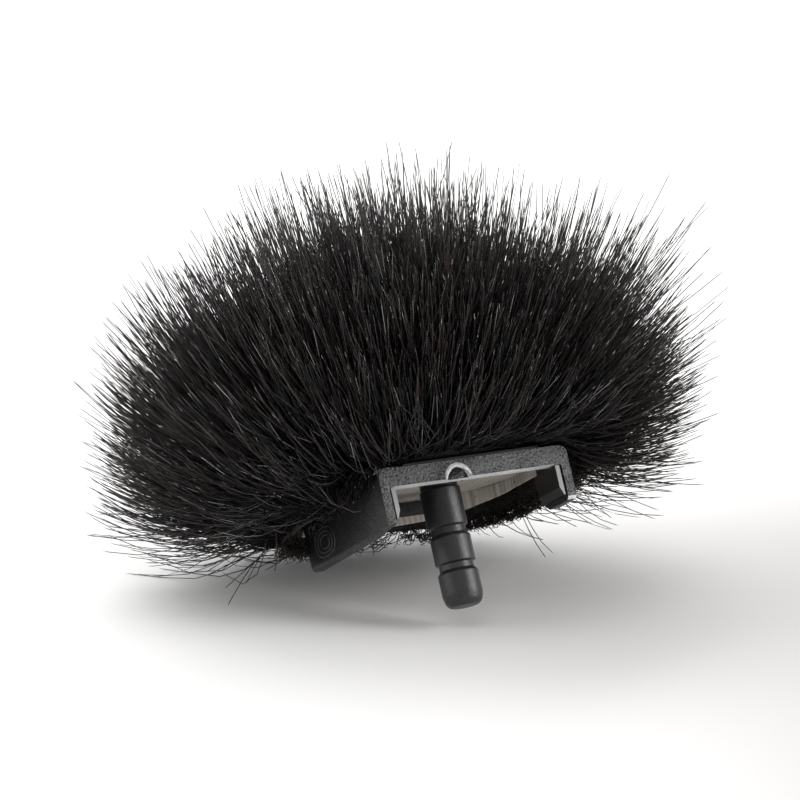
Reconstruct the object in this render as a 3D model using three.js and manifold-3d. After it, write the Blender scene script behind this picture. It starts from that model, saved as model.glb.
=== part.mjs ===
// Clip-on fur windscreen for a small wireless transmitter, in millimetres.
// Frame: +Z up into the fur, the plug points along -Z, +X runs along the clip's front bar and
// +Y runs from the bar to the back. The origin is the middle of the bar's underside, which
// rests on the transmitter.

import * as THREE from "three";
import { mergeVertices } from "three/addons/utils/BufferGeometryUtils.js";
import Module from "manifold-3d";

const wasm = await Module();
wasm.setup();

// ---- driving dimensions ----
const SPAN = 18; // clip width over both arms
const BAR = { front: -1.2, back: 0.3, height: 1.6 };
const BEVEL = 0.25;
const LEG_DROP = 3.5; // how far the left arm reaches below the bar
const HOOK_DROP = 3.2;
const ARM_THICK = 0.8;
const ARM_LENGTH = 17.1;
const HOOK_LENGTH = 4.8;
const STRIP_THICK = 0.4;
const STRIP_GAP = 0.17;
const JOINT_GAP = 0.3;
const PLUG = { x: -1.6, y: 3, radius: 1.75, length: 10.3 };
const STEM_RADIUS = 1.1; // the plug's stem, through the tongue
const HEAD_RADIUS = 1.6; // the plug's head, above the tongue
const TONGUE = { halfWidth: 1.75, low: 0.55, high: 1.2, back: 4.9 };
const GATE = { radius: 1.1, depth: 0.4 }; // moulding gate recess in the bar's lower front edge
const RIB = { y: 13.4, depth: 1.4, end: 4, low: 0.1, high: 1.2 };
const LAYER_GAP = 0.05;
const TAPE_THICK = 0.2;
const LINING_THICK = 0.3;
const CENTRE = { x: -0.8, y: 9.8 }; // middle of the fur dome, seen from above
const MOUTH = { x: 0, y: 9, a: 11.6, b: 9.1, power: 3.6, thick: 1, low: -0.7 }; // hem's inside
const ROOT = { a: 14, b: 13, top: 16.3 }; // the fur's backing cloth
const PILE = { a: 24, b: 22.4, top: 25.5 }; // mean reach of the fur
const FOAM_GAP = 1.3;
const CROWN_LATITUDE = 0.62; // share of the dome's height angle where the crown panel starts
const SEAM_GAP = 0.3;

// The mouth's bands run between these angles; the bar closes the rest.
const OPEN_FROM = (-30 * Math.PI) / 180;
const OPEN_TO = (210 * Math.PI) / 180;

const half = SPAN / 2;
const barEnd = half - ARM_THICK - STRIP_GAP - STRIP_THICK;
const tapeLow = BAR.height + LAYER_GAP;
const ceilingLow = tapeLow + TAPE_THICK + LAYER_GAP;
const ceilingHigh = ceilingLow + LINING_THICK;
const foamLow = ceilingHigh + 0.15;

// ---- materials ----
function plastic(color, roughness) {
  return new THREE.MeshStandardMaterial({ color, roughness, metalness: 0 });
}

function cloth(color) {
  return new THREE.MeshStandardMaterial({ color, roughness: 0.95, metalness: 0 });
}

const BLACK = 0x17171a;
const PLUG_BLACK = 0x101012;
const STRIP_GREY = 0x2a2a2e;
const BEIGE = 0x8b8274;
const FUR_BLACK = 0x0e0c0c;
const HEM_BLACK = 0x141212;
const FOAM_GREY = 0x2b2b2d;
const TAPE_CREAM = 0xcfc8b8;

// ---- helpers ----
const windscreen = new THREE.Group();

function addPart(name, geometry, material) {
  const mesh = new THREE.Mesh(geometry, material);
  mesh.name = name;
  windscreen.add(mesh);
  return mesh;
}

function positionsOnly(geometry) {
  const bare = geometry.clone();
  bare.deleteAttribute("normal");
  bare.deleteAttribute("uv");
  return mergeVertices(bare, 1e-4);
}

function toSolid(geometry) {
  const merged = positionsOnly(geometry);
  const mesh = new wasm.Mesh({
    numProp: 3,
    vertProperties: new Float32Array(merged.attributes.position.array),
    triVerts: new Uint32Array(merged.index.array),
  });
  return new wasm.Manifold(mesh);
}

function toGeometry(solid) {
  const mesh = solid.getMesh();
  const geometry = new THREE.BufferGeometry();
  geometry.setAttribute("position", new THREE.BufferAttribute(mesh.vertProperties, 3));
  geometry.setIndex(new THREE.BufferAttribute(mesh.triVerts, 1));
  geometry.computeVertexNormals();
  return geometry;
}

function block(x0, x1, y0, y1, z0, z1) {
  const geometry = new THREE.BoxGeometry(x1 - x0, y1 - y0, z1 - z0);
  geometry.translate((x0 + x1) / 2, (y0 + y1) / 2, (z0 + z1) / 2);
  return geometry;
}

// An outline in (y, z) drawn out along X, from x0 to x1, with a small bevel on its edges.
function sidePlate(points, x0, x1, bevel) {
  const shape = new THREE.Shape(points.map(([y, z]) => new THREE.Vector2(y, z)));
  const geometry = new THREE.ExtrudeGeometry(shape, {
    depth: x1 - x0 - 2 * bevel,
    bevelEnabled: bevel > 0,
    bevelThickness: bevel,
    bevelSize: bevel,
    bevelOffset: -bevel,
    bevelSegments: 1,
  });
  geometry.translate(0, 0, x0 + bevel);
  // (shape x, shape y, depth) becomes (y, z, x)
  geometry.applyMatrix4(new THREE.Matrix4().set(0, 0, 1, 0, 1, 0, 0, 0, 0, 1, 0, 0, 0, 0, 0, 1));
  return geometry;
}

// An outline in (x, z) drawn out along Y, from y0 to y1.
function frontPlate(points, y0, y1) {
  const shape = new THREE.Shape(points.map(([x, z]) => new THREE.Vector2(x, z)));
  const geometry = new THREE.ExtrudeGeometry(shape, { depth: y1 - y0, bevelEnabled: false });
  geometry.rotateX(Math.PI / 2);
  geometry.translate(0, y1, 0);
  return geometry;
}

function upright(radius, z0, z1, sides, x, y) {
  const geometry = new THREE.CylinderGeometry(radius, radius, z1 - z0, sides);
  geometry.rotateX(Math.PI / 2);
  geometry.translate(x, y, (z0 + z1) / 2);
  return geometry;
}

// A point on a rounded rectangle (a superellipse) that lies `inset` inside the mouth's edge.
function mouthPoint(inset, t) {
  const bend = (v) => Math.sign(v) * Math.abs(v) ** (2 / MOUTH.power);
  const x = MOUTH.x + (MOUTH.a - inset) * bend(Math.cos(t));
  const y = MOUTH.y + (MOUTH.b - inset) * bend(Math.sin(t));
  return new THREE.Vector2(x, y);
}

function mouthArc(inset, t0, t1, steps) {
  return Array.from({ length: steps + 1 }, (_, i) => mouthPoint(inset, t0 + ((t1 - t0) * i) / steps));
}

function extrudeUp(shape, z0, z1) {
  const geometry = new THREE.ExtrudeGeometry(shape, { depth: z1 - z0, bevelEnabled: false });
  geometry.translate(0, 0, z0);
  return geometry;
}

// A band along the left, rear and right sides of the mouth, open at the front.
function mouthBand(outerInset, innerInset, z0, z1) {
  const steps = 40;
  const shape = new THREE.Shape([
    ...mouthArc(outerInset, OPEN_FROM, OPEN_TO, steps),
    ...mouthArc(innerInset, OPEN_TO, OPEN_FROM, steps),
  ]);
  return extrudeUp(shape, z0, z1);
}

// ---- moulded clip ----
function makeClipFrame() {
  const bar = toSolid(block(-barEnd, barEnd, BAR.front, BAR.back, 0, BAR.height));
  const left = PLUG.x - TONGUE.halfWidth;
  const right = PLUG.x + TONGUE.halfWidth;
  const root = BAR.back - 0.2; // the tongue starts inside the bar
  const tongue = toSolid(block(left, right, root, TONGUE.back, TONGUE.low, TONGUE.high));
  const holeRadius = STEM_RADIUS + 0.15;
  const hole = toSolid(upright(holeRadius, -1, BAR.height + 1, 24, PLUG.x, PLUG.y));
  const gate = toSolid(upright(GATE.radius, 0, 2, 24, 0, 0).rotateX(Math.PI / 2));
  const gateCut = gate.translate([PLUG.x, BAR.front + GATE.depth, 0]);
  return toGeometry(bar.add(tongue).subtract(hole).subtract(gateCut));
}

// An arm joins the bar at a shoulder, which a joint gap parts from the bar's end.
function makeShoulder(side) {
  const inner = barEnd + JOINT_GAP;
  const outer = half - ARM_THICK / 2;
  const [x0, x1] = side < 0 ? [-outer, -inner] : [inner, outer];
  return toSolid(block(x0, x1, BAR.front, BAR.back, 0, BAR.height));
}

function makeLeftArm() {
  const back = BAR.front + ARM_LENGTH;
  const toe = 0.3;
  const heel = 0.65;
  const outline = [
    [BAR.front, -LEG_DROP + toe],
    [BAR.front + toe, -LEG_DROP],
    [back - heel, -LEG_DROP],
    [back, -LEG_DROP + heel],
    [back, BAR.height],
    [BAR.front, BAR.height],
  ];
  const plate = toSolid(sidePlate(outline, -half, -half + ARM_THICK, BEVEL));
  const ribStart = -half + ARM_THICK / 2;
  const ribBack = RIB.y + RIB.depth;
  const rib = toSolid(block(ribStart, RIB.end, RIB.y, ribBack, RIB.low, RIB.high));
  return toGeometry(plate.add(makeShoulder(-1)).add(rib));
}

function makeRightHook() {
  const back = BAR.front + HOOK_LENGTH;
  const toe = 0.6;
  const heel = 0.9;
  const outline = [
    [BAR.front, -HOOK_DROP + toe],
    [BAR.front + toe, -HOOK_DROP],
    [back - heel, -HOOK_DROP],
    [back, -HOOK_DROP + heel],
    [back, BAR.height],
    [BAR.front, BAR.height],
  ];
  const plate = toSolid(sidePlate(outline, half - ARM_THICK, half, BEVEL));
  return toGeometry(plate.add(makeShoulder(1)));
}

// A grip strip lies inside an arm; its lower end tapers towards the arm.
function makeGripStrip(side, y1) {
  const outer = half - ARM_THICK - STRIP_GAP;
  const inner = outer - STRIP_THICK;
  const top = -0.1;
  const tip = -LEG_DROP + 0.8;
  const taper = 0.7;
  const outline = [
    [side * outer, top],
    [side * inner, top],
    [side * inner, tip + taper],
    [side * (outer - 0.12), tip],
    [side * outer, tip],
  ];
  return frontPlate(outline, BAR.front + 0.1, y1);
}

// ---- dummy plug: a head over the tongue, a stem through it and the grooved shaft ----
function makeDummyPlug() {
  const r = PLUG.radius;
  const neck = r - 0.12;
  const groove = r - 0.25;
  const headTop = BAR.height - LAYER_GAP;
  const headLow = TONGUE.high + LAYER_GAP;
  const neckTop = TONGUE.low - LAYER_GAP;
  const grooveBetween = (top, bottom) => [
    [r, top],
    [groove, top - 0.15],
    [groove, bottom + 0.28],
    [r, bottom],
  ];
  const profile = [
    [0, headTop],
    [HEAD_RADIUS, headTop],
    [HEAD_RADIUS, headLow],
    [STEM_RADIUS, headLow],
    [STEM_RADIUS, neckTop],
    [neck, neckTop],
    [neck, 0],
    [r, -0.15],
    ...grooveBetween(-3.3, -4.3),
    ...grooveBetween(-6.45, -7.4),
    [r, -9.3],
    [r - 0.12, -9.75],
    [r - 0.35, -10.1],
    [r - 0.6, -PLUG.length],
    [0, -PLUG.length],
  ];
  const points = profile.map(([radius, z]) => new THREE.Vector2(radius, z));
  const geometry = new THREE.LatheGeometry(points.reverse(), 32);
  geometry.rotateX(Math.PI / 2);
  return geometry;
}

// ---- soft pieces ----
// The dome is a stack of ellipses: a share s of 0 is its rim and 1 its crown.
function domePoint(size, t, s, low) {
  const rise = s * (Math.PI / 2);
  const rim = 0.84;
  const bulge = Math.min(1, rim + (1 - rim) * Math.sin(Math.min(1, s * 3) * (Math.PI / 2)));
  const spread = Math.cos(Math.max(0, rise - 0.25) / (Math.PI / 2 - 0.25) * (Math.PI / 2)) * bulge;
  const z = low + (size.top - low) * Math.sin(rise);
  return [CENTRE.x + size.a * spread * Math.cos(t), CENTRE.y + size.b * spread * Math.sin(t), z];
}

// A closed solid between an inner and an outer dome, over angles t0..t1 and shares s0..s1.
function domePanel(t0, t1, s0, s1, low, columns, rows) {
  const positions = [];
  const index = [];
  const layer = (size) => {
    const first = positions.length / 3;
    for (let row = 0; row <= rows; row += 1) {
      for (let column = 0; column <= columns; column += 1) {
        const t = t0 + ((t1 - t0) * column) / columns;
        const s = s0 + ((s1 - s0) * row) / rows;
        positions.push(...domePoint(size, t, s, low));
      }
    }
    return (row, column) => first + row * (columns + 1) + column;
  };
  const outer = layer(PILE);
  const inner = layer(ROOT);
  const quad = (a, b, c, d) => index.push(a, b, c, a, c, d);
  for (let row = 0; row < rows; row += 1) {
    for (let column = 0; column < columns; column += 1) {
      const [next, above] = [column + 1, row + 1];
      quad(outer(row, column), outer(row, next), outer(above, next), outer(above, column));
      quad(inner(row, column), inner(above, column), inner(above, next), inner(row, next));
    }
    quad(outer(row, 0), outer(row + 1, 0), inner(row + 1, 0), inner(row, 0));
    quad(inner(row, columns), inner(row + 1, columns), outer(row + 1, columns), outer(row, columns));
  }
  for (let column = 0; column < columns; column += 1) {
    quad(outer(0, column), inner(0, column), inner(0, column + 1), outer(0, column + 1));
    quad(outer(rows, column), outer(rows, column + 1), inner(rows, column + 1), inner(rows, column));
  }
  const geometry = new THREE.BufferGeometry();
  geometry.setAttribute("position", new THREE.Float32BufferAttribute(positions, 3));
  geometry.setIndex(index);
  return geometry;
}

// The crown panel closes the dome: rings of points that end in one point on each side.
function crownPanel(s0, low, columns, rows) {
  const positions = [];
  const index = [];
  const layer = (size) => {
    const first = positions.length / 3;
    for (let row = 0; row < rows; row += 1) {
      for (let column = 0; column < columns; column += 1) {
        const s = s0 + ((1 - s0) * row) / rows;
        positions.push(...domePoint(size, (2 * Math.PI * column) / columns, s, low));
      }
    }
    positions.push(CENTRE.x, CENTRE.y, size.top);
    return (row, column) => first + (row === rows ? rows * columns : row * columns + (column % columns));
  };
  const outer = layer(PILE);
  const inner = layer(ROOT);
  const face = (a, b, c) => index.push(a, b, c);
  for (let column = 0; column < columns; column += 1) {
    for (let row = 0; row < rows; row += 1) {
      face(outer(row, column), outer(row, column + 1), outer(row + 1, column + 1));
      face(inner(row, column), inner(row + 1, column + 1), inner(row, column + 1));
      if (row < rows - 1) {
        face(outer(row, column), outer(row + 1, column + 1), outer(row + 1, column));
        face(inner(row, column), inner(row + 1, column), inner(row + 1, column + 1));
      }
    }
    face(outer(0, column), inner(0, column), inner(0, column + 1));
    face(outer(0, column), inner(0, column + 1), outer(0, column + 1));
  }
  const geometry = new THREE.BufferGeometry();
  geometry.setAttribute("position", new THREE.Float32BufferAttribute(positions, 3));
  geometry.setIndex(index);
  return geometry;
}

function makeFoamCore() {
  const rows = 7;
  const columns = 28;
  const size = { a: ROOT.a - FOAM_GAP, b: ROOT.b - FOAM_GAP, top: ROOT.top - FOAM_GAP };
  const positions = [CENTRE.x, CENTRE.y, foamLow];
  const index = [];
  for (let row = 0; row < rows; row += 1) {
    for (let column = 0; column < columns; column += 1) {
      positions.push(...domePoint(size, (2 * Math.PI * column) / columns, row / rows, foamLow));
    }
  }
  const top = positions.length / 3;
  positions.push(CENTRE.x, CENTRE.y, size.top);
  const at = (row, column) => (row === rows ? top : 1 + row * columns + (column % columns));
  for (let column = 0; column < columns; column += 1) {
    index.push(0, at(0, column + 1), at(0, column));
    for (let row = 0; row < rows; row += 1) {
      index.push(at(row, column), at(row, column + 1), at(row + 1, column + 1));
      if (row < rows - 1) index.push(at(row, column), at(row + 1, column + 1), at(row + 1, column));
    }
  }
  const geometry = new THREE.BufferGeometry();
  geometry.setAttribute("position", new THREE.Float32BufferAttribute(positions, 3));
  geometry.setIndex(index);
  return geometry;
}

// The two ceiling panels meet at a seam that runs along X.
function makeCeiling(front) {
  const outline = mouthArc(0.5, 0, 2 * Math.PI, 48).slice(0, -1);
  const disc = toSolid(extrudeUp(new THREE.Shape(outline), ceilingLow, ceilingHigh));
  const seamY = MOUTH.y + 1.2;
  const keep = front
    ? block(-30, 30, -30, seamY - SEAM_GAP / 2, 0, 10)
    : block(-30, 30, seamY + SEAM_GAP / 2, 60, 0, 10);
  return toGeometry(disc.intersect(toSolid(keep)));
}

function makeBondTape() {
  const halfWidth = barEnd - 1.2;
  const front = BAR.front + 0.15;
  const back = BAR.back + 1.5;
  return block(-halfWidth, halfWidth, front, back, tapeLow, tapeLow + TAPE_THICK);
}

function makeHemBand() {
  return mouthBand(-MOUTH.thick, 0, MOUTH.low, ceilingHigh);
}

function makeLiningWall() {
  return mouthBand(LAYER_GAP, LAYER_GAP + LINING_THICK, MOUTH.low + 0.6, ceilingHigh);
}

function makeHemThread() {
  const high = MOUTH.low - LAYER_GAP;
  return mouthBand(-MOUTH.thick, -0.3, high - 0.5, high);
}

// A thin cord-like ring inside the dome, just under the crown panel's lower edge.
function makeCrownSeamThread() {
  const [, , z] = domePoint(ROOT, 0, CROWN_LATITUDE, WALL_LOW);
  const ring = (inset) =>
    Array.from({ length: 40 }, (_, i) => {
      const [x, y] = domePoint(ROOT, (i * Math.PI) / 20, CROWN_LATITUDE, WALL_LOW);
      const keep = 1 - inset / Math.hypot(x - CENTRE.x, y - CENTRE.y);
      return new THREE.Vector2(CENTRE.x + (x - CENTRE.x) * keep, CENTRE.y + (y - CENTRE.y) * keep);
    });
  const shape = new THREE.Shape(ring(0.45));
  shape.holes.push(new THREE.Path(ring(0.75).reverse()));
  return extrudeUp(shape, z - 0.15, z + 0.15);
}

// ---- assembly ----
const WALL_LOW = ceilingHigh + 0.15;
const wallGap = SEAM_GAP / 2 / ROOT.a;
const wallTop = CROWN_LATITUDE - 0.012;

addPart("clip_frame", makeClipFrame(), plastic(BLACK, 0.55));
addPart("left_arm", makeLeftArm(), plastic(BLACK, 0.5));
addPart("right_hook", makeRightHook(), plastic(BLACK, 0.5));
addPart("left_grip_strip", makeGripStrip(-1, BAR.front + ARM_LENGTH - 1.5), plastic(STRIP_GREY, 0.4));
addPart("right_grip_strip", makeGripStrip(1, BAR.front + HOOK_LENGTH - 0.5), plastic(STRIP_GREY, 0.4));

const plug = addPart("dummy_plug", makeDummyPlug(), plastic(PLUG_BLACK, 0.45));
plug.position.set(PLUG.x, PLUG.y, 0);

addPart("bond_tape", makeBondTape(), cloth(TAPE_CREAM));
addPart("lining_ceiling_front", makeCeiling(true), cloth(BEIGE));
addPart("lining_ceiling_rear", makeCeiling(false), cloth(BEIGE));
addPart("lining_wall", makeLiningWall(), cloth(BEIGE));
addPart("foam_core", makeFoamCore(), cloth(FOAM_GREY));
addPart("hem_band", makeHemBand(), cloth(HEM_BLACK));
addPart("hem_thread", makeHemThread(), cloth(HEM_BLACK));
addPart("crown_seam_thread", makeCrownSeamThread(), cloth(HEM_BLACK));

["right", "rear", "left", "front"].forEach((side, quarter) => {
  const middle = (quarter * Math.PI) / 2;
  const from = middle - Math.PI / 4 + wallGap;
  const to = middle + Math.PI / 4 - wallGap;
  addPart(`fur_wall_${side}`, domePanel(from, to, 0, wallTop, WALL_LOW, 7, 7), cloth(FUR_BLACK));
});
addPart("fur_crown", crownPanel(CROWN_LATITUDE + 0.012, WALL_LOW, 28, 5), cloth(FUR_BLACK));

export default windscreen;
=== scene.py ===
import math

import bmesh
import bpy
import numpy as np
from mathutils import Matrix, Vector


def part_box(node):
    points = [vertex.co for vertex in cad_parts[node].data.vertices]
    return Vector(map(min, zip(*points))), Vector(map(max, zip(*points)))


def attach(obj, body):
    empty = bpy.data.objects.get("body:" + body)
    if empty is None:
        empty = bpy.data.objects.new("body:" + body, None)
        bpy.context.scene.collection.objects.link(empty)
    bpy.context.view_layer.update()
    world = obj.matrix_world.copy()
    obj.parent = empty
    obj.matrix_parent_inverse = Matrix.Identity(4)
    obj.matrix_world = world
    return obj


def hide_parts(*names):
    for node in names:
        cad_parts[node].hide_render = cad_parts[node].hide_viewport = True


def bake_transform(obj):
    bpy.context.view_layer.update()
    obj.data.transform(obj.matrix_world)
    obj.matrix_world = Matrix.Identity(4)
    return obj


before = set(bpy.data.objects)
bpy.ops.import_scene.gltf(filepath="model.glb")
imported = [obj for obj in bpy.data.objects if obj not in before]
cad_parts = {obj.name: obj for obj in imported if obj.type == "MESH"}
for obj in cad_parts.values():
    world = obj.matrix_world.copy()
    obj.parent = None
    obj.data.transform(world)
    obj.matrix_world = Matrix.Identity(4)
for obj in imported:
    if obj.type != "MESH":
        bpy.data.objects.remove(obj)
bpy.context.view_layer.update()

# Lengths below are in millimetres in the CAD's frame; MM turns them into Blender's metres.
MM = 0.001
SEED = 41


def box_mm(node):
    low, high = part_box(node)
    return Vector(low) / MM, Vector(high) / MM


frame_low, frame_high = box_mm("clip_frame")
arm_low, arm_high = box_mm("left_arm")
hook_low, hook_high = box_mm("right_hook")
plug_low, plug_high = box_mm("dummy_plug")
ceiling_low, ceiling_high = box_mm("lining_ceiling_front")
ceiling_seam_y = box_mm("lining_ceiling_rear")[0].y
wall_low, wall_high = box_mm("lining_wall")
hem_low, hem_high = box_mm("hem_band")
thread_low = box_mm("hem_thread")[0]
foam_low, foam_high = box_mm("foam_core")
pile_low = box_mm("fur_wall_left")[0]
crown_low = box_mm("fur_crown")[0]

BAR_FRONT = frame_low.y
BAR_BACK = 0.3
BAR_TOP = arm_high.z
PLATE = 0.8  # thickness of the arm and the hook
TONGUE = 1.75, 0.8, 1.2  # half width, underside, top
PLUG_AT = Vector(((plug_low.x + plug_high.x) / 2, (plug_low.y + plug_high.y) / 2, 0))

# The dome of the fur's backing cloth, and the mouth that its hem runs round.
DOME = Vector(((foam_low.x + foam_high.x) / 2, (foam_low.y + foam_high.y) / 2, 0))
BACKING_OUT = 1.3  # from the foam to the backing cloth
ROOT_A = (foam_high.x - foam_low.x) / 2 + BACKING_OUT
ROOT_B = (foam_high.y - foam_low.y) / 2 + BACKING_OUT
ROOT_TOP = foam_high.z + BACKING_OUT
ROOT_LOW = pile_low.z
MOUTH_Y = 9.0
MOUTH_POWER = 3.6
HEM_A = hem_high.x
HEM_B = hem_high.y - MOUTH_Y
MOUTH_FROM = math.radians(-30)
MOUTH_TO = math.radians(210)
LINING_INSET = 1.55  # from the mouth's outline to the lining's ceiling


# ---------------- camera

AZIMUTH = math.radians(-26.2)
ELEVATION = math.radians(-10.7)
ROLL = math.radians(-12.6)
DISTANCE = 320 * MM
LENS = 169.8
AIM_RIGHT = -4.36
AIM_UP = 7.8

back = Vector((
    math.sin(AZIMUTH) * math.cos(ELEVATION),
    -math.cos(AZIMUTH) * math.cos(ELEVATION),
    math.sin(ELEVATION),
))
level_right = (-back).cross(Vector((0, 0, 1))).normalized()
level_up = level_right.cross(-back)
view_right = level_right * math.cos(ROLL) + level_up * math.sin(ROLL)
view_up = -level_right * math.sin(ROLL) + level_up * math.cos(ROLL)


def make_camera():
    data = bpy.data.cameras.new("camera")
    data.lens = LENS
    data.clip_start = 0.01
    data.clip_end = 10
    camera = bpy.data.objects.new("camera", data)
    aim = (level_right * AIM_RIGHT + level_up * AIM_UP) * MM
    turn = Matrix((view_right, view_up, back)).transposed().to_4x4()
    camera.matrix_world = Matrix.Translation(aim + back * DISTANCE) @ turn
    bpy.context.scene.collection.objects.link(camera)
    bpy.context.scene.camera = camera


make_camera()

# The table that the object lies on: seen from a little above, while the object is tipped back.
TABLE_PITCH = math.radians(12)
TABLE_AT = -12.6  # height of the table's top along table_up
table_up = (view_up * math.cos(TABLE_PITCH) + back * math.sin(TABLE_PITCH)).normalized()


# ---------------- node helpers

WAVES = 6.28  # bands of a wave texture per unit, at scale 1


def new_material(name, roughness=0.5):
    """A material, its nodes and the inputs of its main shader."""
    material = bpy.data.materials.new(name)
    material.use_nodes = True
    nodes = material.node_tree.nodes
    shader = nodes["Principled BSDF"].inputs
    shader["Roughness"].default_value = roughness
    return material, nodes, shader


def join_up(output, target):
    output.id_data.links.new(output, target)


def add_node(nodes, kind, **inputs):
    node = nodes.new(kind)
    for key, value in inputs.items():
        node.inputs[key].default_value = value
    return node


def ramp(factor, stops, target):
    """Colours by a factor, led into the target input."""
    node = target.id_data.nodes.new("ShaderNodeValToRGB")
    elements = node.color_ramp.elements
    for element, (place, color) in zip(elements, stops):
        element.position = place
        element.color = color if len(color) == 4 else (*color, 1)
    join_up(factor, node.inputs["Fac"])
    join_up(node.outputs["Color"], target)


def grey(value):
    return (value, value, value, 1)


def texture(nodes, kind, scale, result="Fac", **inputs):
    """The output of a texture that follows the object's own coordinates."""
    node = add_node(nodes, kind, Scale=scale, **inputs)
    join_up(nodes.new("ShaderNodeTexCoord").outputs["Object"], node.inputs["Vector"])
    return node.outputs[result]


def noise(nodes, size, detail, roughness=0.5):
    """Cloudy noise with spots about size millimetres across."""
    scale = 1 / (size * MM)
    return texture(nodes, "ShaderNodeTexNoise", scale, Detail=detail, Roughness=roughness)


def yarn(nodes, pitch, axis, distortion):
    """Wavy bands a pitch apart, across one axis."""
    scale = 1 / (pitch * MM) / WAVES
    bands = texture(nodes, "ShaderNodeTexWave", scale, Distortion=distortion)
    bands.node.bands_direction = axis
    return bands


def mixed(first, second, factor):
    """The value between two outputs, factor of the way to the second."""
    mix = add_node(first.id_data.nodes, "ShaderNodeMix", Factor=factor)
    join_up(first, mix.inputs["A"])
    join_up(second, mix.inputs["B"])
    return mix.outputs["Result"]


def add_relief(height, shader, strength, distance):
    nodes = height.id_data.nodes
    relief = add_node(nodes, "ShaderNodeBump", Strength=strength, Distance=distance * MM)
    join_up(height, relief.inputs["Height"])
    join_up(relief.outputs["Normal"], shader["Normal"])


def moulded_plastic(name, dark, light, rough, grain, bump, depth=0.5):
    """Black moulded plastic: spark-eroded grain whose high spots are paler and smoother. rough is
    the roughness of the high and the low spots."""
    material, nodes, shader = new_material(name)
    fine, cloud = noise(nodes, grain, 2.5, 0.6), noise(nodes, 2.4, 2.0)
    ramp(mixed(fine, cloud, 0.3), [(0.4, dark), (0.6, light)], shader["Base Color"])
    high, low = rough
    ramp(fine, [(0.35, grey(low)), (0.65, grey(high))], shader["Roughness"])
    add_relief(fine, shader, bump, grain * depth)
    return material


def strip_plastic(name, dark, painted_light):
    """Smooth black plastic, painted pale where it faces forward: painted light of the lamps on the
    front faces.
    """
    material, nodes, shader = new_material(name, 0.35)
    normal = nodes.new("ShaderNodeSeparateXYZ")
    join_up(nodes.new("ShaderNodeTexCoord").outputs["Normal"], normal.inputs["Vector"])
    shift = nodes.new("ShaderNodeMath")  # from -1 to 1, into the ramp's 0 to 1
    shift.operation = "MULTIPLY_ADD"
    shift.inputs[1].default_value = 0.5
    shift.inputs[2].default_value = 0.5
    join_up(normal.outputs["Y"], shift.inputs[0])
    # Forward faces take the pale tone: painted light.
    ramp(shift.outputs["Value"], [(0.2, painted_light), (0.4, dark)], shader["Base Color"])
    return material


def knit_cloth(name, dark, light, pitch, bump, fuzz):
    """Fine warp knit: columns of stitches along one way, rows across, and slubs of lighter yarn."""
    material, nodes, shader = new_material(name, 0.92)
    columns, rows = yarn(nodes, pitch, "X", 1.2), yarn(nodes, pitch * 0.8, "Y", 1.6)
    slub, hairs = noise(nodes, 1.6, 4.0, 0.7), noise(nodes, 0.12, 3.0, 0.7)
    weave = mixed(columns, rows, 0.5)
    ramp(mixed(weave, slub, 0.55), [(0.3, dark), (0.68, light)], shader["Base Color"])
    shader["Sheen Weight"].default_value = fuzz
    shader["Sheen Roughness"].default_value = 0.5
    add_relief(mixed(weave, hairs, 0.45), shader, bump, 0.06)
    return material


def open_foam(name):
    material, nodes, shader = new_material(name, 0.95)
    cells = texture(nodes, "ShaderNodeTexVoronoi", 1 / (0.45 * MM), "Distance")
    ramp(cells, [(0.05, grey(0.004)), (0.5, (0.035, 0.035, 0.037))], shader["Base Color"])
    add_relief(cells, shader, 0.9, 0.2)
    return material


def tape_film(name):
    material, nodes, shader = new_material(name, 0.6)
    stops = [(0.3, grey(0.01)), (0.7, (0.025, 0.023, 0.021))]
    ramp(noise(nodes, 0.8, 4.0), stops, shader["Base Color"])
    return material


def hair_material(name, color, roughness, specular):
    """One glossy fibre colour; the pile's variety comes from several of these."""
    material, _, shader = new_material(name, roughness)
    shader["Base Color"].default_value = (*color, 1)
    shader["Specular IOR Level"].default_value = specular
    return material


CLIP = moulded_plastic("clip_plastic", grey(0.012), grey(0.027), (0.4, 0.62), 0.3, 0.4)
# The clip's forward faces: real moulded grain, made pale as painted light where the lamps fall on the
# front, with its pale speckle a painted highlight.
FACE_GRAIN_AND_LIGHT = moulded_plastic("clip_grain_painted_light", grey(0.014), (0.175, 0.175, 0.18), (0.26, 0.6), 0.2, 1.0, 0.8)
# Near-white plastic for the bar's rounded lower edges, its underside and the gate recess's rim: a
# painted reflection of the pale table and the lamps.
EDGE_REFLECTION = moulded_plastic("clip_edges_painted_reflection", (0.55, 0.55, 0.555), (0.85, 0.85, 0.86), (0.3, 0.5), 0.25, 0.3)
# Near-black plastic for the rib and the arm's inside behind it: painted shade, as little light reaches
# there.
PAINTED_SHADE = moulded_plastic("rib_painted_shade", grey(0.003), grey(0.008), (0.5, 0.7), 0.3, 0.3)
STRIP = strip_plastic("strip_plastic", (0.01, 0.01, 0.011), (0.3, 0.3, 0.305))
PLUG = moulded_plastic("plug_plastic", (0.002, 0.002, 0.0025), (0.01, 0.01, 0.011),
                       (0.3, 0.46), 0.14, 0.6)
PLUG.node_tree.nodes["Principled BSDF"].inputs["Specular IOR Level"].default_value = 0.6
LINING = knit_cloth("lining_knit", (0.34, 0.31, 0.27), (0.6, 0.56, 0.505), 0.28, 0.6, 0.15)
BACKING = knit_cloth("fur_backing", (0.004, 0.0035, 0.0035), (0.014, 0.012, 0.011), 0.3, 0.9, 0.02)
FOAM = open_foam("open_cell_foam")
TAPE = tape_film("bond_tape")
HAIR_BLACK = hair_material("hair_black", (0.0035, 0.003, 0.003), 0.3, 0.45)
HAIR_BROWN = hair_material("hair_brown_black", (0.025, 0.017, 0.0157), 0.34, 0.5)
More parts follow.
